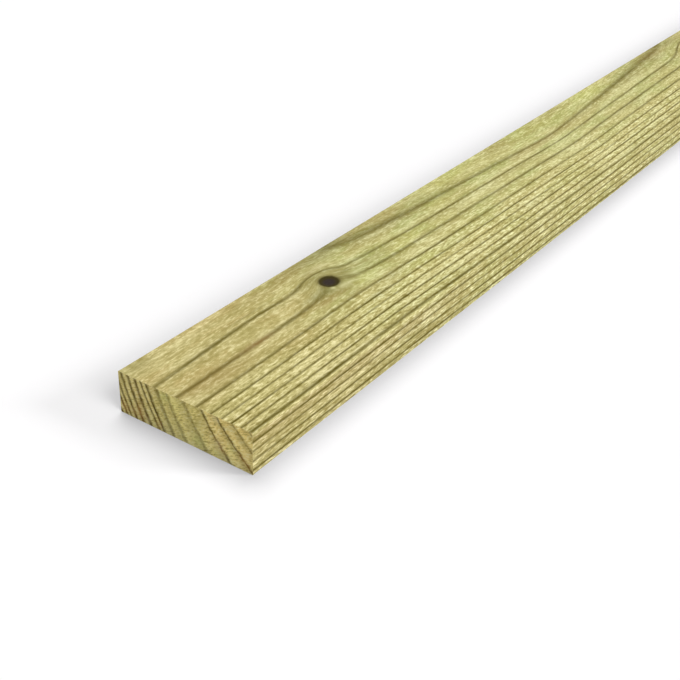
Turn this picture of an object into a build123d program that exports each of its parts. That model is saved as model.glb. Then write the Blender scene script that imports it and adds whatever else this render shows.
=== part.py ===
from build123d import *
import os

# The section and stock length, in millimetres
length = 1800.0        # cut square at both ends
width = 70.0           # across the two faces
thickness = 20.0       # through the two edges
arris_radius = 0.8     # the four long arrises, eased by planing

# The dead knot in the upper face, shrunk below the wood around it
knot_from_end = 114.0  # its centre, along the grain from the -X end
knot_from_edge = 23.5  # its centre, across the grain from the +Y edge
knot_length = 11.0     # along the grain
knot_width = 9.5       # across the grain
knot_depth = 0.7       # at its middle


def planed_stock():
    """The planed section, run along X with its underside on Z = 0."""
    section = Plane.YZ * Pos(0, thickness / 2) * RectangleRounded(width, thickness, arris_radius)
    return extrude(section, amount=length / 2, both=True)


def knot_dish():
    """The oval hollow that the shrunken knot leaves in the upper face."""
    bowl = scale(Sphere(1), by=(knot_length / 2, knot_width / 2, knot_depth))
    return Pos(knot_from_end - length / 2, width / 2 - knot_from_edge, thickness) * bowl


batten = planed_stock() - knot_dish()

os.makedirs("parts", exist_ok=True)
export_step(batten, "parts/batten.step")
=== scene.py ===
from math import cos, radians, sin

import bpy
import numpy as np
from mathutils import Matrix, Vector


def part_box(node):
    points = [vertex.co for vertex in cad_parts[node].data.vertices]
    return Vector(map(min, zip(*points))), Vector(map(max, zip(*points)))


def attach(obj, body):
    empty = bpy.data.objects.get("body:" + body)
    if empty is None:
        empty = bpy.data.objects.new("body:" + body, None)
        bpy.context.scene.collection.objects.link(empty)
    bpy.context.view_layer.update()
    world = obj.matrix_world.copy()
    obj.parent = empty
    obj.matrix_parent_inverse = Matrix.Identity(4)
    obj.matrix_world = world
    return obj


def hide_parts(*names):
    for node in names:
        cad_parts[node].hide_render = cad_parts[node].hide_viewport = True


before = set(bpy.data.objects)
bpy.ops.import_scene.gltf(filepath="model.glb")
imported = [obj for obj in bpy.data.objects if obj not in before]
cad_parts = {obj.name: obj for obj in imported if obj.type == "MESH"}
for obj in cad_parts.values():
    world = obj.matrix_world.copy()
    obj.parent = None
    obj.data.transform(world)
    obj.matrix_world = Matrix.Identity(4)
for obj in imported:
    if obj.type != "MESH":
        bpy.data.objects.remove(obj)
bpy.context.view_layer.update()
perMetre = 1000.0   # the board is laid out in millimetres
lowCorner, highCorner = (np.array(corner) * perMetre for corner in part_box("batten"))
length, width, thickness = highCorner - lowCorner
print("frame: batten %.0f x %.0f x %.0f mm" % (length, width, thickness))

# A place on the board is along from the -X end, across from the +Y edge, and depth below the upper face.

# The annual rings as the four long faces cut them
growth = {
    "pithHeight": 20.0,     # the pith lies this far above the upper face, over the +Y edge
    "crowding": 0.0204,     # how much the rings tighten for each millimetre of depth
    "swell": 476.0,         # bulge of the log, in square millimetres
    "calm": 0.79,           # share of the bulge lost towards the -Y edge
    "calmFrom": 25.0,
    "calmTo": 75.0,
    "dips": [               # along, run: where the face dips towards the pith
        (344.0, 133.0),
        (905.0, 96.0),
        (1390.0, 118.0),
    ],
    "dipSoftness": 10.0,
    "flowBend": 1.2,        # how far the flecks follow the bends of the rings
    "lateSpread": 0.6,      # how far the raised late wood spreads, as a share of its breadth
    "leans": [              # along, across, run, reach, height: where the rings lean towards the +Y edge
        (40.0, 0.0, 75.0, 7.0, 1.8),
        (67.5, 17.7, 71.0, 9.3, 2.4),
        (330.0, 28.0, 90.0, 7.0, 0.5),
        (515.0, 9.0, 70.0, 12.0, 1.1),
        (588.0, 25.0, 31.0, 19.0, 10.5),
        (648.0, 0.0, 75.0, 7.0, 1.8),
        (1170.0, 0.0, 90.0, 7.0, 1.8),
        (1690.0, 0.0, 80.0, 7.0, 1.8),
    ],
    "rings": [              # radius, then darkness, breadth and soft start of the late wood
        (12.0, 0.00, 1.2, 0.0),
        (21.0, 0.00, 1.2, 0.0),
        (29.2, 0.74, 1.6, 0.3),
        (36.1, 0.84, 1.1, 0.1),
        (42.9, 0.82, 1.4, 0.1),
        (50.2, 0.86, 1.15, 0.1),
        (55.9, 0.95, 0.95, 0.1),
        (60.2, 0.75, 0.9, 0.0),
        (64.4, 1.00, 1.0, 0.1),
        (68.5, 0.90, 0.9, 0.1),
        (72.8, 0.94, 1.9, 0.2),
        (77.8, 0.98, 1.15, 0.1),
        (82.0, 0.92, 1.0, 0.1),
        (86.4, 0.96, 1.1, 0.1),
        (90.5, 0.98, 1.2, 0.1),
        (94.8, 0.30, 1.1, 0.1),
        (99.0, 0.92, 1.1, 0.1),
    ],
}

# The dead branch that the upper face cuts through, shrunk below the face, and how the rings part round it
knot = {
    "along": 114.0,
    "across": 23.5,
    "length": 11.0,
    "width": 9.5,
    "dish": 0.7,
    "barkAside": -0.65,     # the dark bark lies a little to one side of the dish
    "barkSize": 1.03,
    "outOfReach": 9.0,      # stands for the faces that the knot doesn't come out of
    "aside": -4.5,          # the rings part on this line, as seen from the knot's heart
    "push": 4.1,
    "reach": 13.6,
    "run": 9.0,
    "spread": 1.2,
    "swell": 0.83,
    "swellRun": 70.0,
    "draw": 2.2,            # the ring beside the knot is drawn into it
    "drawAside": 1.5,
    "drawReach": 5.0,
    "drawRun": 9.0,
    "fade": 0.65,           # and fades out
    "fadeAside": 4.0,
    "fadeReach": 4.0,
    "fadeRun": 19.0,
    "thin": 0.1,            # the ring round the other side is drawn thin
    "thinAside": -9.0,
    "thinReach": 7.0,
    "thinRun": 20.0,
}

# Marks on the upper face: along, across, run, reach, strength
faceMarks = {
    "olive": [
        (6.0, 3.0, 9.0, 4.0, 0.24),
        (67.0, 13.0, 14.0, 0.55, 0.4),
        (98.5, 27.2, 9.0, 3.2, 0.5),
        (106.0, 24.4, 2.4, 1.0, 0.35),
        (107.0, 28.0, 2.2, 1.8, 0.55),
        (113.0, 38.2, 8.0, 1.2, 0.25),
        (118.0, 48.0, 7.0, 2.5, 0.25),
        (122.6, 28.0, 1.6, 1.2, 0.4),
        (124.0, 2.5, 20.0, 4.5, 0.28),
        (124.5, 23.5, 3.5, 4.5, 0.26),
        (127.0, 22.8, 1.6, 0.9, 0.35),
        (133.0, 4.5, 12.0, 3.5, 0.16),
        (135.0, 25.2, 11.0, 3.4, 0.22),
        (137.0, 43.0, 7.0, 2.5, 0.27),
        (152.0, 26.0, 8.0, 3.0, 0.15),
        (185.0, 11.0, 45.0, 6.5, 0.16),
        (251.0, 57.5, 9.0, 2.5, 0.13),
        (438.0, 38.0, 10.0, 2.5, 0.15),
        (473.0, 17.0, 12.0, 3.0, 0.13),
        (500.0, 12.5, 48.0, 7.0, 0.16),
        (530.0, 12.0, 12.0, 3.5, 0.14),
        (531.0, 24.5, 10.0, 2.5, 0.14),
        (566.0, 4.0, 14.0, 5.0, 0.26),
    ],
    "pale": [
        (94.0, 18.2, 6.0, 1.3, 0.3),
        (109.5, 28.2, 1.0, 1.0, 0.8),
        (116.5, 30.6, 5.0, 1.6, 0.3),
        (127.0, 36.7, 7.0, 1.4, 0.2),
        (137.5, 21.2, 4.0, 1.1, 0.25),
        (180.0, 20.8, 9.0, 2.0, 0.2),
        (335.0, 32.0, 95.0, 9.0, 0.1),
        (345.0, 68.5, 28.0, 2.0, 0.3),
        (358.0, 50.0, 10.0, 2.5, 0.17),
        (415.0, 23.5, 9.0, 2.0, 0.3),
        (450.0, 27.0, 45.0, 6.0, 0.07),
        (500.0, 21.0, 10.0, 2.0, 0.28),
    ],
    "brown": [
        (20.0, 35.0, 22.0, 5.0, 0.25),
        (52.0, 31.0, 9.0, 1.6, 0.5),
        (97.0, 33.0, 10.0, 3.0, 0.25),
        (100.0, 4.0, 26.0, 6.0, 0.22),
        (112.0, 32.5, 12.0, 3.6, 0.28),
        (118.0, 11.0, 12.0, 2.2, 0.22),
        (185.0, 3.0, 32.0, 6.0, 0.2),
        (345.0, 21.5, 55.0, 2.5, 0.16),
        (528.0, 5.0, 26.0, 5.0, 0.25),
        (582.0, 4.0, 20.0, 6.0, 0.3),
    ],
    "lime": [
        (125.0, 34.5, 7.0, 3.0, 0.4),
        (165.0, 46.0, 12.0, 3.0, 0.25),
        (175.0, 27.0, 18.0, 5.0, 0.3),
        (220.0, 17.0, 10.0, 3.0, 0.35),
        (250.0, 4.0, 22.0, 4.0, 0.3),
        (350.0, 6.0, 25.0, 5.0, 0.3),
        (430.0, 6.0, 22.0, 5.0, 0.5),
    ],
}

# The rings as the saw shows them on both ends
endGrowth = {
    "bow": 1.2,             # the rings lean more towards the underside
    "rings": [              # across at the upper face and at the underside, then as above
        (-11.0, -2.4, 1.00, 1.7, 0.2),
        (-7.3, 0.9, 1.00, 1.7, 0.2),
        (-4.0, 3.8, 1.00, 1.7, 0.2),
        (-1.5, 6.0, 0.95, 1.6, 0.2),
        (1.7, 9.0, 0.95, 1.8, 0.2),
        (5.4, 12.8, 0.95, 1.9, 0.2),
        (9.3, 17.0, 1.00, 2.1, 0.2),
        (12.5, 21.7, 0.90, 1.5, 0.2),
        (15.3, 24.3, 1.00, 2.1, 0.2),
        (21.3, 29.5, 0.70, 2.4, 0.4),
        (26.2, 35.8, 0.60, 2.3, 0.4),
        (35.2, 47.3, 0.60, 2.6, 0.4),
        (44.8, 58.9, 0.95, 1.9, 0.3),
        (52.4, 71.0, 0.92, 2.1, 0.4),
        (60.5, 84.0, 0.65, 2.6, 0.4),
        (68.5, 98.0, 0.65, 2.4, 0.4),
        (77.0, 112.0, 0.65, 2.4, 0.4),
    ],
    "rayLean": 0.4,         # how steeply the rays climb towards the -Y edge
}

# Marks on both ends: across, depth, run, reach, strength
endMarks = {
    "rust": [
        (2.5, 16.5, 2.2, 3.0, 0.7),
        (7.5, 17.0, 2.4, 2.5, 0.5),
        (11.2, 15.3, 2.0, 3.6, 0.7),
        (14.0, 17.8, 2.0, 2.0, 0.5),
        (21.5, 17.5, 1.6, 3.0, 0.6),
        (54.0, 13.0, 3.0, 5.0, 0.6),
        (66.5, 15.0, 4.0, 5.0, 0.6),
    ],
    "green": [
        (25.0, 2.5, 3.0, 2.8, 0.35),
        (31.0, 4.0, 3.0, 3.0, 0.15),
        (42.0, 16.5, 3.5, 3.0, 0.35),
        (52.0, 17.8, 3.0, 1.6, 0.3),
        (59.0, 12.5, 2.0, 2.5, 0.2),
    ],
    "dull": [
        # painted shade along the +Y edge of the end
        (0.0, 4.0, 1.4, 6.0, 0.4),
        (3.0, 2.5, 2.0, 3.0, 0.2),
        (36.8, 11.5, 2.0, 1.5, 0.2),
        (38.5, 1.5, 1.6, 2.0, 0.25),
        (42.2, 7.5, 2.6, 3.0, 0.35),
        (45.0, 12.0, 1.6, 1.6, 0.2),
        (57.6, 3.6, 1.6, 1.6, 0.2),
        (65.0, 6.0, 3.0, 2.0, 0.18),
    ],
    "bright": [
        (15.2, 17.8, 1.4, 1.5, 0.2),
        (25.5, 17.8, 2.0, 1.6, 0.25),
        (51.3, 1.8, 2.2, 1.8, 0.25),
        (52.6, 13.4, 2.0, 2.6, 0.22),
        (55.2, 18.4, 2.0, 1.6, 0.22),
    ],
}

board = {
    "name": "treatedBatten",
    "arrisRadius": 0.25,
    "arrisTurns": (45.0, 22.5),     # degrees off the flat where the rounded arris has a mesh column
    "columnPitch": 0.565,
    "shownLength": 640.0,           # the stretch with closer stations
    "shownStep": 6.0,
    "farStep": 11.0,
    "stepChange": 120.0,
    "knotStep": 1.3,
    "knotSpan": 13.0,
    "endStep": 1.2,
    "endSpan": 9.0,
    "raisedGrain": 0.07,            # late wood stands this far above the early wood
    "grainFade": 2.0,               # and less and less this close to an end
    "tornGrain": 0.10,              # early wood torn back by the saw on the ends
    "tornFade": (0.2, 1.5),         # from nothing to full, this far inside the arris
    "sharpAngle": 60.0,
    "mapGap": 0.006,                # the flat map of the faces, in shares of its width and height
    "mapEndHeight": 0.098,
    "mapEndWidth": 0.485,
}


def smoothStep(low, high, value):
    t = np.clip((value - low) / (high - low), 0.0, 1.0)
    return t * t * (3.0 - 2.0 * t)


def bell(value, middle, run):
    return np.exp(-(((value - middle) / run) ** 2))


def spots(first, second, marks):
    # soft spots, each given by its two places, its size along both and its strength
    return sum(s * bell(first, x, run) * bell(second, y, reach) for x, y, run, reach, s in marks)


def rimGap(value, span):
    # distance to the nearer end of a span
    return np.minimum(value, span - value)


def faceRadius(along, across, depth):
    g, k = growth, knot
    bulge = np.full_like(along, g["swell"])
    for middle, run in g["dips"]:
        bulge *= 1.0 - np.exp(-np.hypot(along - middle, g["dipSoftness"]) / run)
    bulge *= 1.0 - g["calm"] * smoothStep(g["calmFrom"], g["calmTo"], across)
    wide = across**2 * (1.0 + g["crowding"] * depth)
    radius = np.sqrt(wide + (g["pithHeight"] + depth) ** 2 + bulge) + spots(along, across, g["leans"])
    off = np.abs(across - k["across"] - k["aside"])
    radius += k["push"] * np.exp(-off / k["reach"]) * bell(along, k["along"], k["run"] + k["spread"] * off)
    radius += k["swell"] * bell(along, k["along"], k["swellRun"])
    beside = bell(across, k["across"] + k["drawAside"], k["drawReach"])
    return radius + k["draw"] * beside * bell(along, k["along"], k["drawRun"])


def lateWood(count, darkness, breadth):
    return darkness * bell(count, np.round(count), growth["lateSpread"] * breadth)


def faceRings(along, across, depth):
    # rings counted outwards, then the late wood there: darkness, breadth as a share of a ring, soft start
    radii, *looks = (np.array(column) for column in zip(*growth["rings"]))
    numbers = np.arange(len(radii))
    count = np.interp(faceRadius(along, across, depth), radii, numbers)
    looks[1] = looks[1] / np.gradient(radii)
    darkness, breadth, start = (np.interp(count, numbers, look) for look in looks)
    k = knot
    beside = bell(across, k["across"] + k["fadeAside"], k["fadeReach"])
    darkness *= 1.0 - k["fade"] * beside * bell(along, k["along"], k["fadeRun"])
    around = bell(across, k["across"] + k["thinAside"], k["thinReach"])
    breadth *= 1.0 - k["thin"] * around * bell(along, k["along"], k["thinRun"])
    return count, darkness, breadth, start


def endRings(across, depth):
    # the same on an end, counted from the +Y edge
    tops, feet, *looks = (np.array(column) for column in zip(*endGrowth["rings"]))
    drop = np.clip(depth / thickness, 0.0, 1.0) ** endGrowth["bow"]
    count = np.zeros_like(across)
    for inner in range(len(tops) - 1):
        here, following = (tops[i] + (feet[i] - tops[i]) * drop for i in (inner, inner + 1))
        count += np.clip((across - here) / (following - here), 0.0, 1.0)
    looks[1] = looks[1] / np.gradient((tops + feet) / 2.0)
    return count, *(np.interp(count, np.arange(len(tops)), look) for look in looks)


def knotReach(along, across):
    # 0 at the heart of the knot and 1 at its rim
    away = 2.0 * (along - knot["along"]) / knot["length"]
    aside = 2.0 * (across - knot["across"]) / knot["width"]
    return np.hypot(away, aside)


def stationPlaces():
    # mesh stations along the board, closest at the ends and the knot
    b = board
    fine = 0.5  # step of the probe
    probe = np.arange(0.0, length + fine, fine)
    far = smoothStep(b["shownLength"], b["shownLength"] + b["stepChange"], probe)
    step = b["shownStep"] + (b["farStep"] - b["shownStep"]) * far
    step += (b["knotStep"] - step) * bell(probe, knot["along"], b["knotSpan"])
    step += (b["endStep"] - step) * np.exp(-rimGap(probe, length) / b["endSpan"])
    cells = np.concatenate([[0.0], np.cumsum(fine / step[:-1])])
    return np.interp(np.linspace(0.0, cells[-1], int(round(cells[-1])) + 1), cells, probe)


def faceColumns(span):
    # one side of the section: places along it, how far the arris draws each in, and its lean
    r = board["arrisRadius"]
    turns = np.radians(board["arrisTurns"])
    flat = np.linspace(r, span - r, int(round((span - 2.0 * r) / board["columnPitch"])) + 1)
    edge = r - r * np.sin(turns)
    inset = r - r * np.cos(turns)
    places = np.concatenate([edge, flat, span - edge[::-1]])
    insets = np.concatenate([inset, np.zeros_like(flat), inset[::-1]])
    leans = np.concatenate([-turns, np.zeros_like(flat), turns[::-1]])
    return places, insets, leans


def sectionLoop():
    # once round the section, from the +Y arris of the upper face: corner, heading, outward, span
    walks = [
        ((0.0, 0.0), (1.0, 0.0), (0.0, -1.0), width),
        ((width, 0.0), (0.0, 1.0), (1.0, 0.0), thickness),
        ((width, thickness), (-1.0, 0.0), (0.0, 1.0), width),
        ((0.0, thickness), (0.0, -1.0), (-1.0, 0.0), thickness),
    ]
    points, normals = [], []
    for corner, heading, outward, span in (map(np.array, walk) for walk in walks):
        places, insets, leans = (column[:-1, None] for column in faceColumns(span))
        points.append(corner + places * heading - insets * outward)
        normals.append(np.cos(leans) * outward + np.sin(leans) * heading)
    return np.concatenate(points), np.concatenate(normals)


def endIndex(station, firstInner, columns, ny, nz):
    # vertex numbers over one end: its border is a station's loop, its inside comes after the loops
    index = np.zeros((ny + 1, nz + 1), int)
    index[:, 0] = np.arange(ny + 1)
    index[ny, :] = ny + np.arange(nz + 1)
    index[:, nz] = ny + nz + np.arange(ny + 1)[::-1]
    index[0, :] = (2 * ny + nz + np.arange(nz + 1)[::-1]) % columns
    index += station * columns
    index[1:-1, 1:-1] = firstInner + np.arange((ny - 1) * (nz - 1)).reshape(ny - 1, nz - 1)
    return index


def quadsOf(index, order):
    # four-sided faces of a grid of vertex numbers, corners taken in this order
    n, m = index.shape[0] - 1, index.shape[1] - 1
    return np.stack([index[i:i + n, j:j + m] for i, j in order], -1).reshape(-1, 4)


outFirst = [(0, 0), (0, 1), (1, 1), (1, 0)]
backFirst = [(0, 0), (1, 0), (1, 1), (0, 1)]


def buildBoard():
    b = board
    stations = stationPlaces()
    loop, normals = sectionLoop()
    rows, columns = len(stations), len(loop)
    acrossPlaces, depthPlaces = faceColumns(width)[0], faceColumns(thickness)[0]
    ny, nz = len(acrossPlaces) - 1, len(depthPlaces) - 1

    # long faces: early wood lies a little below the late wood, and the dead knot below both
    along = np.repeat(stations, columns)
    across, depth = np.tile(loop, (rows, 1)).T
    outAcross, outDepth = np.tile(normals, (rows, 1)).T
    onWide = np.abs(outDepth) > 0.5
    onTop = outDepth < -0.5
    arrisGap = np.where(onWide, rimGap(across, width), rimGap(depth, thickness))
    endGap = rimGap(along, length)
    late = lateWood(*faceRings(along, across, depth)[:3])
    sunk = b["raisedGrain"] * (1.0 - late) * smoothStep(0.0, b["grainFade"], endGap)
    bowl = np.sqrt(np.clip(1.0 - knotReach(along, across) ** 2, 0.0, 1.0))
    sunk += knot["dish"] * bowl * onTop
    across, depth = across - sunk * outAcross, depth - sunk * outDepth
    edgeGap = np.minimum(arrisGap, endGap)

    # ends: the saw tears the early wood back
    inner = np.meshgrid(acrossPlaces[1:-1], depthPlaces[1:-1], indexing="ij")
    innerAcross, innerDepth = (places.ravel() for places in inner)
    border = np.minimum(rimGap(innerAcross, width), rimGap(innerDepth, thickness))
    endLate = lateWood(*endRings(innerAcross, innerDepth)[:3])
    torn = b["tornGrain"] * (1.0 - endLate) * smoothStep(*b["tornFade"], border)
    along = np.concatenate([along, torn, length - torn])
    across = np.concatenate([across, innerAcross, innerAcross])
    depth = np.concatenate([depth, innerDepth, innerDepth])
    edgeGap = np.concatenate([edgeGap, border, border])
    onTop = np.concatenate([onTop, np.zeros(2 * len(torn), bool)])

    strips = np.arange(rows * columns).reshape(rows, columns)
    strips = np.concatenate([strips, strips[:, :1]], 1)
    nearEnd = endIndex(0, rows * columns, columns, ny, nz)
    farEnd = endIndex(rows - 1, rows * columns + len(torn), columns, ny, nz)
    longFaces = quadsOf(strips, outFirst)
    faces = np.concatenate([longFaces, quadsOf(nearEnd, outFirst), quadsOf(farEnd, backFirst)])

    points = np.stack([lowCorner[0] + along, highCorner[1] - across, highCorner[2] - depth], -1) / perMetre
    mesh = bpy.data.meshes.new(b["name"])
    mesh.from_pydata(points.tolist(), [], faces.tolist())
    mesh.polygons.foreach_set("use_smooth", np.ones(len(faces), bool))
    mesh.polygons.foreach_set("material_index", np.arange(len(faces)) >= len(longFaces))
    mesh.set_sharp_from_angle(angle=radians(b["sharpAngle"]))
    layMap(mesh, stations, loop, acrossPlaces, depthPlaces)
    markGrain(mesh, along, across, depth, edgeGap, onTop)
    mesh.update()
    piece = bpy.data.objects.new(b["name"], mesh)
    bpy.context.scene.collection.objects.link(piece)
    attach(piece, "root")
    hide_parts("batten")
    piece.visible_diffuse = False   # a neutral shadow, with no colour cast on the floor
    print("board: %d stations, %d columns, %d faces" % (rows, columns, len(faces)))
    return piece


def layMap(mesh, stations, loop, acrossPlaces, depthPlaces):
    # the faces unrolled as two half lengths, one over the other, and both ends in a row above them
    gap, endHeight, endWidth = board["mapGap"], board["mapEndHeight"], board["mapEndWidth"]
    girth = np.concatenate([[0.0], np.cumsum(np.hypot(*(np.roll(loop, -1, 0) - loop).T))])
    girth /= girth[-1]
    middle = len(stations) // 2
    stripHeight = (1.0 - endHeight - 3.0 * gap) / 2.0
    patches = []
    for half, base in ((stations[:middle + 1], gap), (stations[middle:], 2.0 * gap + stripHeight)):
        run = (half - half[0]) / (half[-1] - half[0])
        patches.append((gap + run * (1.0 - 2.0 * gap), base + girth * stripHeight, outFirst))
    run = acrossPlaces / acrossPlaces[-1]
    rise = 1.0 - gap - depthPlaces / depthPlaces[-1] * (endHeight - gap)
    patches.append((gap + run * endWidth, rise, outFirst))
    patches.append((1.0 - gap - run * endWidth, rise, backFirst))
    corners = []
    for u, v, order in patches:
        us, vs = np.meshgrid(u, v, indexing="ij")
        n, m = len(u) - 1, len(v) - 1
        cells = [np.stack([us[i:i + n, j:j + m], vs[i:i + n, j:j + m]], -1) for i, j in order]
        corners.append(np.stack(cells, 2).reshape(-1, 2))
    layer = mesh.uv_layers.new(name="OFBake")
    layer.data.foreach_set("uv", np.concatenate(corners).ravel())


ringParts = ("Count", "Darkness", "Breadth", "Start")


def markGrain(mesh, along, across, depth, edgeGap, onTop):
    # what the finishes read at each point of the mesh
    plain = np.hypot(across, growth["pithHeight"] + depth)
    bend = faceRadius(along, across, depth) - plain
    marks = dict(zip(["ring" + part for part in ringParts], faceRings(along, across, depth)))
    marks.update(zip(["end" + part for part in ringParts], endRings(across, depth)))
    bark = knotReach(along, across - knot["barkAside"]) / knot["barkSize"]
    marks.update(knotReach=np.where(onTop, bark, knot["outOfReach"]), edgeGap=edgeGap)
    marks.update({name + "Mark": spots(along, across, rows) * onTop for name, rows in faceMarks.items()})
    marks.update({name + "Mark": spots(across, depth, rows) for name, rows in endMarks.items()})
    for name, values in marks.items():
        mesh.attributes.new(name, "FLOAT", "POINT").data.foreach_set("value", values)
    flows = {
        "boardPlace": (along, across, depth),
        "grainFlow": (along, across + growth["flowBend"] * bend, depth),
        "endFlow": (depth, across, along),
        "endRays": (across, depth + endGrowth["rayLean"] * across, along),
    }
    for name, parts in flows.items():
        places = np.stack(parts, -1).ravel()
        mesh.attributes.new(name, "FLOAT_VECTOR", "POINT").data.foreach_set("vector", places)


# Shorthands for shader nodes
def feed(tree, value, socket):
    if isinstance(value, bpy.types.NodeSocket):
        tree.links.new(value, socket)
    else:
        socket.default_value = value


def place(tree, kind, sockets=None, **settings):
    node = tree.nodes.new(kind)
    for name, value in settings.items():
        setattr(node, name, value)
    for name, value in (sockets or {}).items():
        feed(tree, value, node.inputs[name])
    return node


def calc(tree, operation, *values):
    return place(tree, "ShaderNodeMath", dict(enumerate(values)), operation=operation).outputs[0]


def vectorCalc(tree, operation, first, second):
    return place(tree, "ShaderNodeVectorMath", {0: first, 1: second}, operation=operation).outputs[0]


def remap(tree, value, fromLow, fromHigh, toLow=0.0, toHigh=1.0):
    sockets = {"Value": value, "From Min": fromLow, "From Max": fromHigh, "To Min": toLow, "To Max": toHigh}
    return place(tree, "ShaderNodeMapRange", sockets, interpolation_type="SMOOTHSTEP").outputs["Result"]


def tint(tree, factor, under, over, mode="MIX"):
    sockets = {0: factor, 6: under, 7: over}
    return place(tree, "ShaderNodeMix", sockets, data_type="RGBA", blend_type=mode).outputs[2]


def drawnOut(tree, given):
    # a group's Vector in units of its Length and Width, in millimetres
    sizes = {"X": given["Length"], "Y": given["Width"], "Z": given["Width"]}
    unit = place(tree, "ShaderNodeCombineXYZ", sizes).outputs[0]
    return vectorCalc(tree, "DIVIDE", given["Vector"], unit)


def noise(tree, vector, detail=2.0, roughness=0.5):
    sockets = {"Vector": vector, "Scale": 1.0, "Detail": detail, "Roughness": roughness}
    return place(tree, "ShaderNodeTexNoise", sockets).outputs["Fac"]


def attribute(tree, name, output="Fac"):
    return place(tree, "ShaderNodeAttribute", attribute_name=name).outputs[output]


def newGroup(name, inputs, outputs):
    tree = bpy.data.node_groups.new(name, "ShaderNodeTree")
    for label, default in inputs.items():
        kind = "NodeSocketVector" if default is None else "NodeSocketFloat"
        socket = tree.interface.new_socket(label, in_out="INPUT", socket_type=kind)
        if default is not None:
            socket.default_value = default
    for label in outputs:
        tree.interface.new_socket(label, in_out="OUTPUT", socket_type="NodeSocketFloat")
    return tree, tree.nodes.new("NodeGroupInput").outputs, tree.nodes.new("NodeGroupOutput").inputs


def growthRingGroup():
    # late wood that comes on softly and ends sharply, and the ring brightening towards it
    inputs = {
        "Vector": None, "Count": 0.0, "Darkness": 0.8, "Breadth": 0.2, "Start": 0.1,
        "Wander": 0.07, "Patchy": 0.3, "Length": 26.0, "Width": 4.0,
    }
    tree, given, out = newGroup("growthRings", inputs, ["Late", "Season"])
    path = drawnOut(tree, given)
    sway = calc(tree, "MULTIPLY", calc(tree, "SUBTRACT", noise(tree, path, 3.0), 0.5), given["Wander"])
    phase = calc(tree, "FRACT", calc(tree, "ADD", given["Count"], sway))
    after = calc(tree, "DIVIDE", phase, given["Breadth"])
    before = calc(tree, "DIVIDE", calc(tree, "SUBTRACT", 1.0, phase), given["Breadth"])
    line = calc(tree, "MAXIMUM", remap(tree, after, 0.85, 0.0), remap(tree, before, 1.05, 0.0))
    start = calc(tree, "MULTIPLY", remap(tree, before, 3.0, 0.8), given["Start"])
    patches = remap(tree, noise(tree, vectorCalc(tree, "MULTIPLY", path, (0.8, 1.6, 1.6))), 0.65, 0.25)
    worn = calc(tree, "SUBTRACT", 1.0, calc(tree, "MULTIPLY", patches, given["Patchy"]))
    dark = calc(tree, "MULTIPLY", calc(tree, "MAXIMUM", line, start), given["Darkness"])
    feed(tree, calc(tree, "MULTIPLY", dark, worn), out["Late"])
    feed(tree, remap(tree, phase, 0.1, 0.75), out["Season"])
    return tree


def fibreGroup():
    # short flecks and long streaks along the grain, as pale and dark shares, and the fibre between them
    inputs = {"Vector": None, "Length": 3.5, "Width": 0.95, "Streaks": 0.6, "Mottle": 0.35}
    tree, given, out = newGroup("fibreFlecks", inputs, ["Pale", "Dark", "Fibre"])
    fleck = drawnOut(tree, given)
    streak = vectorCalc(tree, "MULTIPLY", fleck, (0.2, 0.8, 0.8))
    patch = vectorCalc(tree, "MULTIPLY", fleck, (0.45, 0.3, 0.3))
    tone = calc(tree, "MULTIPLY", calc(tree, "SUBTRACT", noise(tree, fleck, 3.0, 0.62), 0.5), 1.4)
    for amount, layer, apart in ((given["Streaks"], streak, 31.7), (given["Mottle"], patch, 12.3)):
        cloud = noise(tree, vectorCalc(tree, "ADD", layer, (apart, apart, apart)), 2.0)
        tone = calc(tree, "MULTIPLY_ADD", calc(tree, "SUBTRACT", cloud, 0.5), amount, tone)
    feed(tree, remap(tree, tone, -0.02, 0.32), out["Pale"])
    feed(tree, remap(tree, tone, 0.04, -0.3), out["Dark"])
    feed(tree, noise(tree, vectorCalc(tree, "MULTIPLY", fleck, (0.7, 3.2, 3.2)), 3.0, 0.65), out["Fibre"])
    return tree


def stainGroup():
    # uneven take-up of the green preservative
    inputs = {"Vector": None, "Length": 40.0, "Width": 9.0}
    tree, given, out = newGroup("treatmentStain", inputs, ["Green", "Tan", "Pale"])
    patch = drawnOut(tree, given)
    feed(tree, remap(tree, noise(tree, patch, 3.0, 0.55), 0.42, 0.66), out["Green"])
    tan = noise(tree, vectorCalc(tree, "ADD", patch, (7.3, 19.1, 3.7)), 4.0, 0.6)
    feed(tree, remap(tree, tan, 0.45, 0.68), out["Tan"])
    pale = noise(tree, vectorCalc(tree, "ADD", patch, (3.1, 8.7, 15.9)), 2.0, 0.5)
    feed(tree, remap(tree, pale, 0.45, 0.7), out["Pale"])
    return tree


def wearAndHighlightGroup():
    # fibres crushed pale along the arrises and saw cuts, with a painted highlight on them
    inputs = {"Vector": None, "Gap": 1.0, "Reach": 1.2, "Length": 5.0, "Width": 2.0}
    tree, given, out = newGroup("arrisWear", inputs, ["Wear"])
    broken = noise(tree, drawnOut(tree, given), 3.0, 0.6)
    near = remap(tree, calc(tree, "DIVIDE", given["Gap"], given["Reach"]), 1.0, 0.1)
    feed(tree, calc(tree, "MULTIPLY", near, remap(tree, broken, 0.4, 0.65)), out["Wear"])
    return tree


def colour(red, green, blue):
    # from the 0 to 255 of a colour picker
    linear = [((c / 255.0 + 0.055) / 1.055) ** 2.4 for c in (red, green, blue)]
    return (*linear, 1.0)


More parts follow.
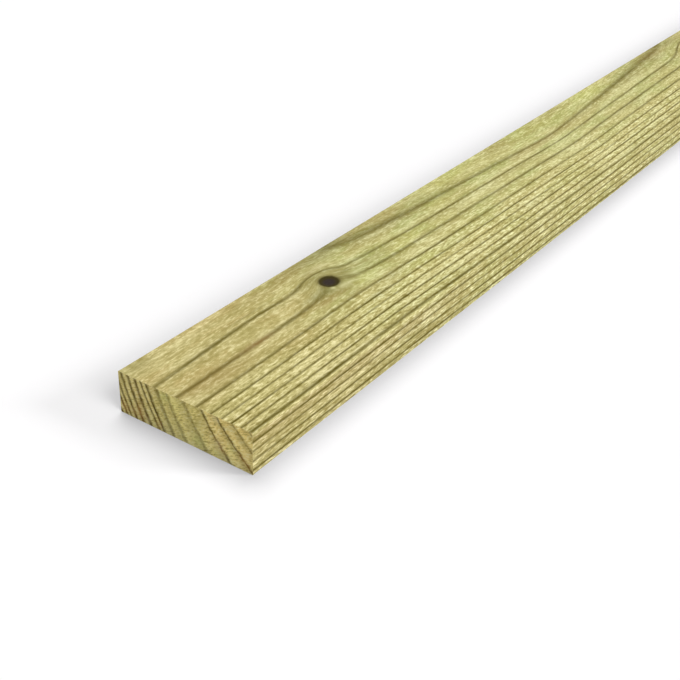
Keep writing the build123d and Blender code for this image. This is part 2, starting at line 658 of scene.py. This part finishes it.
faceFinish = {
    "early": colour(172, 164, 99),
    "beforeLate": colour(205, 198, 128),
    "outer": colour(210, 200, 134),
    # painted shade: the narrow sides and the underside darker than the upper face
    "edge": colour(192, 182, 119),
    "late": colour(89, 78, 4),
    "paleFleck": colour(255, 252, 194),
    "tanFleck": colour(252, 242, 183),
    "darkFleck": colour(152, 139, 76),
    "green": colour(180, 186, 110),
    "tan": colour(197, 168, 106),
    "nearEnd": colour(190, 174, 112),
    "edgeShade": (0.91, 0.86, 0.88, 1.0),   # how much the narrow sides darken near an end
    "olive": colour(98, 96, 42),
    "lime": colour(206, 208, 112),
    "brown": colour(150, 112, 66),
    "knotDead": colour(51, 42, 37),
    "knotRim": colour(58, 50, 14),
    "knotCollar": colour(120, 110, 62),
    "knotShade": colour(142, 133, 78),
    # wear along the arrises, partly painted highlight
    "wearAndHighlight": colour(226, 216, 154),
    "endReach": (130.0, 52.0),          # the wood turns tan towards an end, between these distances
    "endShare": (0.75, 0.2),            # at the +Y edge and at the -Y edge
    "outerAcross": (28.0, 58.0),        # and pale towards the -Y edge
    "sideDepth": (0.8, 2.5),            # the narrow sides begin here
    "greenShare": (0.75, 0.1),          # green stain, along the board and near an end
    "greenOuter": (1.0, 0.4),           # at the +Y edge and at the -Y edge
    "tanShare": (0.1, 0.5),             # tan stain, along the board and near an end
    "cloudShare": 0.25,                 # pale clouds
    "figureLength": 8.0,                # broad figure, at the +Y edge alone
    "figureWidth": 2.2,
    "figureShare": 0.32,
    "fleckShare": (0.55, 0.94),         # flecks, at the +Y edge and at the -Y edge
    "edgeShadeReach": (190.0, 110.2),   # from no shade to full shade, towards an end
    "edgeShadeDepth": (14.0, 3.0),      # and up the side
    "edgeShadeShare": (0.3, 1.0),
    "wearAndHighlightShare": 0.25,
    "knotShadeReach": (3.4, 1.2),       # from nothing to full, 1 being the rim of the knot
    "knotShadeShare": 0.45,
    "knotCollarReach": (1.5, 1.0),
    "knotCollarShare": 0.55,
    "knotRimReach": (1.14, 0.82),
    "knotDeadReach": (0.85, 0.3),
    "specular": 0.05,
    "roughLow": 0.58,
    "roughHigh": 0.76,
    "bump": 0.3,
}

endFinish = {
    "early": colour(248, 230, 148),
    "middle": colour(236, 221, 134),
    "right": colour(244, 220, 134),
    "late": colour(80, 64, 4),
    "paleRay": colour(255, 246, 184),
    "darkRay": colour(158, 138, 62),
    "tan": colour(206, 162, 90),
    "rust": colour(150, 92, 26),
    "green": colour(226, 234, 140),
    # painted light towards the foot of the end
    "paintedFootLight": colour(255, 246, 164),
    "dull": colour(128, 116, 54),
    # wear along the edges of the end, partly painted highlight
    "wearAndHighlight": colour(226, 212, 148),
    "middleAcross": (13.0, 23.0),       # where the plainer middle begins
    "rightAcross": (40.0, 52.0),        # and ends
    "tanShare": (0.4, 0.12),            # tan stain, before the middle and in it
    "tanRight": 0.25,                   # and past it
    "footLightFrom": 4.0,                    # painted light: the end paler from this depth down, lifting its shade towards the floor
    "footLightShare": 0.5,
    "rayShare": (0.72, 0.86),           # rays, up to the end of the middle and past it
    "rustShare": 0.35,
    "wearAndHighlightShare": 0.4,
    "specular": 0.08,
    "roughLow": 0.74,
    "roughHigh": 0.88,
    "bump": 0.4,
}

# The relief of the fibres on both
fibreRelief = {
    "closeness": (0.3, 0.7),    # of the fibres, from roughest to smoothest
    "fleckHeight": 0.4,         # of a fleck, as a share of a fibre's
    "height": 0.0003,           # metres
}


def newFinish(name):
    material = bpy.data.materials.new(name)
    material.use_nodes = True
    return material, material.node_tree, material.node_tree.nodes["Principled BSDF"]


def effect(tree, group, **sockets):
    return place(tree, "ShaderNodeGroup", sockets, node_tree=group).outputs


def ringEffect(tree, group, kind, **sockets):
    sockets.update({part: attribute(tree, kind + part) for part in ringParts})
    return effect(tree, group, **sockets)


def share(tree, mask, amount):
    return calc(tree, "MULTIPLY", mask, amount)


def blend(tree, mask, low, high):
    # low where the mask is 0, high where it is 1
    return remap(tree, mask, 0.0, 1.0, low, high)


def finishSurface(tree, shader, look, fibre, pale):
    # satin where the fibres lie close, and relief from fibres and flecks
    relief = fibreRelief
    rough = remap(tree, fibre, *relief["closeness"], look["roughHigh"], look["roughLow"])
    feed(tree, rough, shader.inputs["Roughness"])
    height = calc(tree, "MULTIPLY_ADD", pale, relief["fleckHeight"], fibre)
    bumpSockets = {"Strength": look["bump"], "Distance": relief["height"], "Height": height}
    bump = place(tree, "ShaderNodeBump", bumpSockets)
    feed(tree, bump.outputs["Normal"], shader.inputs["Normal"])
    shader.inputs["Specular IOR Level"].default_value = look["specular"]


def planedFace(groups):
    look = faceFinish
    material, tree, shader = newFinish("planedFace")
    flow = attribute(tree, "grainFlow", "Vector")
    spot = place(tree, "ShaderNodeSeparateXYZ", {0: attribute(tree, "boardPlace", "Vector")}).outputs
    ring = ringEffect(tree, groups["rings"], "ring", Vector=flow)
    fleck = effect(tree, groups["flecks"], Vector=flow)
    figureSize = {"Length": look["figureLength"], "Width": look["figureWidth"]}
    figure = effect(tree, groups["flecks"], Vector=flow, **figureSize)
    stain = effect(tree, groups["stain"], Vector=flow)
    wearAndHighlight = effect(tree, groups["wearAndHighlight"], Vector=flow, Gap=attribute(tree, "edgeGap"))["Wear"]

    # bare wood: tanner towards the ends, with painted shade on the narrow sides, green and tan stains and
    # pale clouds
    endGap = calc(tree, "MINIMUM", spot["X"], calc(tree, "SUBTRACT", length, spot["X"]))
    nearEnd = remap(tree, endGap, *look["endReach"])
    outer = remap(tree, spot["Y"], *look["outerAcross"])
    side = remap(tree, spot["Z"], *look["sideDepth"])
    palest = tint(tree, nearEnd, look["paleFleck"], look["tanFleck"])
    wood = tint(tree, ring["Season"], look["early"], look["beforeLate"])
    wood = tint(tree, outer, wood, look["outer"])
    # painted shade on the narrow sides and the underside
    wood = tint(tree, side, wood, look["edge"])
    tanner = share(tree, nearEnd, blend(tree, outer, *look["endShare"]))
    wood = tint(tree, tanner, wood, look["nearEnd"])
    green = share(tree, stain["Green"], blend(tree, nearEnd, *look["greenShare"]))
    wood = tint(tree, share(tree, green, blend(tree, outer, *look["greenOuter"])), wood, look["green"])
    tan = share(tree, stain["Tan"], blend(tree, tanner, *look["tanShare"]))
    wood = tint(tree, tan, wood, look["tan"])
    wood = tint(tree, share(tree, stain["Pale"], look["cloudShare"]), wood, palest)
    wood = tint(tree, attribute(tree, "limeMark"), wood, look["lime"])

    # broad figure where the rings are wide, and flecks, strongest where they are narrow
    broad = blend(tree, outer, look["figureShare"], 0.0)
    wood = tint(tree, share(tree, figure["Dark"], broad), wood, look["darkFleck"])
    wood = tint(tree, share(tree, figure["Pale"], broad), wood, palest)
    contrast = blend(tree, outer, *look["fleckShare"])
    wood = tint(tree, share(tree, fleck["Dark"], contrast), wood, look["darkFleck"])
    wood = tint(tree, share(tree, fleck["Pale"], contrast), wood, palest)

    # narrow sides darker near an end, worn arrises with a painted highlight, then the dark lines of the
    # late wood and the marks
    shade = remap(tree, endGap, *look["edgeShadeReach"])
    shade = share(tree, shade, remap(tree, spot["Z"], *look["edgeShadeDepth"], *look["edgeShadeShare"]))
    wood = tint(tree, share(tree, shade, side), wood, look["edgeShade"], "MULTIPLY")
    wood = tint(tree, share(tree, wearAndHighlight, look["wearAndHighlightShare"]), wood, look["wearAndHighlight"])
    wood = tint(tree, ring["Late"], wood, look["late"])
    wood = tint(tree, attribute(tree, "brownMark"), wood, look["brown"])
    wood = tint(tree, attribute(tree, "oliveMark"), wood, look["olive"])

    # knot: dull wood round it, a soft collar, a dark rim, then the heart
    reach = attribute(tree, "knotReach")
    dull = share(tree, remap(tree, reach, *look["knotShadeReach"]), look["knotShadeShare"])
    wood = tint(tree, dull, wood, look["knotShade"])
    collar = share(tree, remap(tree, reach, *look["knotCollarReach"]), look["knotCollarShare"])
    wood = tint(tree, collar, wood, look["knotCollar"])
    between = calc(tree, "SUBTRACT", 1.0, ring["Late"])     # pale marks stay off the dark lines
    wood = tint(tree, share(tree, attribute(tree, "paleMark"), between), wood, palest)
    wood = tint(tree, remap(tree, reach, *look["knotRimReach"]), wood, look["knotRim"])
    wood = tint(tree, remap(tree, reach, *look["knotDeadReach"]), wood, look["knotDead"])
    feed(tree, wood, shader.inputs["Base Color"])
    finishSurface(tree, shader, look, fleck["Fibre"], fleck["Pale"])
    return material


def sawnEnd(groups):
    look = endFinish
    material, tree, shader = newFinish("sawnEnd")
    flow = attribute(tree, "endFlow", "Vector")
    rays = attribute(tree, "endRays", "Vector")
    spot = place(tree, "ShaderNodeSeparateXYZ", {0: attribute(tree, "boardPlace", "Vector")}).outputs
    ringLook = {"Wander": 0.3, "Patchy": 0.3, "Length": 3.0, "Width": 2.5}
    ring = ringEffect(tree, groups["rings"], "end", Vector=flow, **ringLook)
    ray = effect(tree, groups["flecks"], Vector=rays, Length=2.0, Width=0.7, Streaks=0.3, Mottle=0.4)
    stain = effect(tree, groups["stain"], Vector=flow, Length=9.0, Width=7.0)
    wearLook = {"Gap": attribute(tree, "edgeGap"), "Reach": 0.8, "Length": 2.0}
    wearAndHighlight = effect(tree, groups["wearAndHighlight"], Vector=flow, **wearLook)["Wear"]

    # three stretches across: banded and pale, plain and green, then tan with strong rays, and painted light
    # towards the foot
    plain = remap(tree, spot["Y"], *look["middleAcross"])
    right = remap(tree, spot["Y"], *look["rightAcross"])
    wood = tint(tree, plain, look["early"], look["middle"])
    wood = tint(tree, right, wood, look["right"])
    tan = calc(tree, "MAXIMUM", blend(tree, plain, *look["tanShare"]), share(tree, right, look["tanRight"]))
    wood = tint(tree, share(tree, stain["Tan"], tan), wood, look["tan"])
    # painted light: the lower part of the end made paler, against its shade near the floor
    paintedFootLight = remap(tree, spot["Z"], look["footLightFrom"], thickness, 0.0, look["footLightShare"])
    wood = tint(tree, paintedFootLight, wood, look["paintedFootLight"])
    contrast = blend(tree, right, *look["rayShare"])
    wood = tint(tree, share(tree, ray["Dark"], contrast), wood, look["darkRay"])
    wood = tint(tree, share(tree, ray["Pale"], contrast), wood, look["paleRay"])

    # dark lines of the late wood, rusty in places, and the marks
    wood = tint(tree, attribute(tree, "greenMark"), wood, look["green"])
    rust = attribute(tree, "rustMark")
    wood = tint(tree, share(tree, rust, look["rustShare"]), wood, look["rust"])
    wood = tint(tree, ring["Late"], wood, tint(tree, rust, look["late"], look["rust"]))
    # dull marks, the first of them painted shade along the +Y edge
    wood = tint(tree, attribute(tree, "dullMark"), wood, look["dull"])
    wood = tint(tree, attribute(tree, "brightMark"), wood, look["paleRay"])
    # wear and painted highlight along the edges of the end
    wood = tint(tree, share(tree, wearAndHighlight, look["wearAndHighlightShare"]), wood, look["wearAndHighlight"])
    feed(tree, wood, shader.inputs["Base Color"])
    finishSurface(tree, shader, look, ray["Fibre"], ray["Pale"])
    return material


def buildFinishes(piece):
    groups = {
        "rings": growthRingGroup(),
        "flecks": fibreGroup(),
        "stain": stainGroup(),
        "wearAndHighlight": wearAndHighlightGroup(),
    }
    for finish in (planedFace, sawnEnd):
        piece.data.materials.append(finish(groups))
    print("finishes: planed faces and sawn ends")


studio = {
    "cameraPlace": (-273.02, -226.61, 280.31),  # from the lowest corner on the -X and -Y sides
    "heading": 34.551,      # degrees from +X towards +Y
    "pitch": 31.659,        # degrees down
    "roll": 1.801,
    "lens": 61.646,
    "skyLight": 0.18,
    "lamps": {              # strength, spread in degrees, and where each soft light stands
        "overheadLight": (1.397, 39.3, (0.337, 0.289, 0.896)),
        "frontLight": (1.343, 32.7, (-0.152, -0.706, 0.692)),
        "sideLight": (1.02, 16.0, (0.476, -0.774, 0.418)),
    },
    "floorSize": 30.0,      # metres
    "floorColour": (0.966, 0.959, 0.964, 1.0),
    "floorGlow": (0.045, 0.045, 0.045, 1.0),
}


def buildCamera():
    s = studio
    heading, pitch, roll = radians(s["heading"]), radians(s["pitch"]), radians(s["roll"])
    ahead = Vector((cos(pitch) * cos(heading), cos(pitch) * sin(heading), -sin(pitch)))
    level = Vector((sin(heading), -cos(heading), 0.0))
    upright = level.cross(ahead)
    right = level * cos(roll) + upright * sin(roll)
    up = upright * cos(roll) - level * sin(roll)
    lens = bpy.data.cameras.new("photoCamera")
    lens.lens = s["lens"]
    lens.sensor_width = 36.0
    lens.clip_start, lens.clip_end = 0.01, 100.0
    camera = bpy.data.objects.new("photoCamera", lens)
    camera.matrix_world = Matrix((right, up, -ahead)).transposed().to_4x4()
    camera.location = (Vector(lowCorner) + Vector(s["cameraPlace"])) / perMetre
    bpy.context.scene.collection.objects.link(camera)
    bpy.context.scene.camera = camera


def whiteToTheEye(tree):
    # 1 for the rays that should see plain white: camera, mirror and see-through
    path = tree.nodes.new("ShaderNodeLightPath").outputs
    seen = calc(tree, "MAXIMUM", path["Is Camera Ray"], path["Is Glossy Ray"])
    return calc(tree, "MAXIMUM", seen, path["Is Transmission Ray"])


def buildStudio():
    s = studio
    scene = bpy.context.scene
    scene.view_settings.view_transform = "Standard"
    world = bpy.data.worlds.new("studioWorld")
    world.use_nodes = True
    scene.world = world
    tree = world.node_tree
    strength = remap(tree, whiteToTheEye(tree), 0.0, 1.0, s["skyLight"], 1.0)
    feed(tree, strength, tree.nodes["Background"].inputs["Strength"])
    tree.nodes["Background"].inputs["Color"].default_value = (1.0, 1.0, 1.0, 1.0)

    for name, (strength, spread, towards) in s["lamps"].items():
        lamp = bpy.data.lights.new(name, "SUN")
        lamp.energy = strength
        lamp.angle = radians(spread)
        light = bpy.data.objects.new(name, lamp)
        light.rotation_mode = "QUATERNION"
        light.rotation_quaternion = Vector(towards).to_track_quat("Z", "Y")
        scene.collection.objects.link(light)

    half = s["floorSize"] / 2.0
    sheet = bpy.data.meshes.new("studioFloor")
    level = lowCorner[2] / perMetre
    corners = [(-half, -half, level), (half, -half, level), (half, half, level), (-half, half, level)]
    sheet.from_pydata(corners, [], [(0, 1, 2, 3)])
    floor = bpy.data.objects.new("studioFloor", sheet)
    scene.collection.objects.link(floor)
    material, tree, shader = newFinish("paleFloor")
    shader.inputs["Base Color"].default_value = s["floorColour"]
    shader.inputs["Roughness"].default_value = 1.0
    shader.inputs["Specular IOR Level"].default_value = 0.0
    shader.inputs["Emission Color"].default_value = s["floorGlow"]
    feed(tree, whiteToTheEye(tree), shader.inputs["Emission Strength"])
    sheet.materials.append(material)
    print("studio: camera, sky, %d lamps and floor" % len(s["lamps"]))


buildFinishes(buildBoard())
buildCamera()
buildStudio()
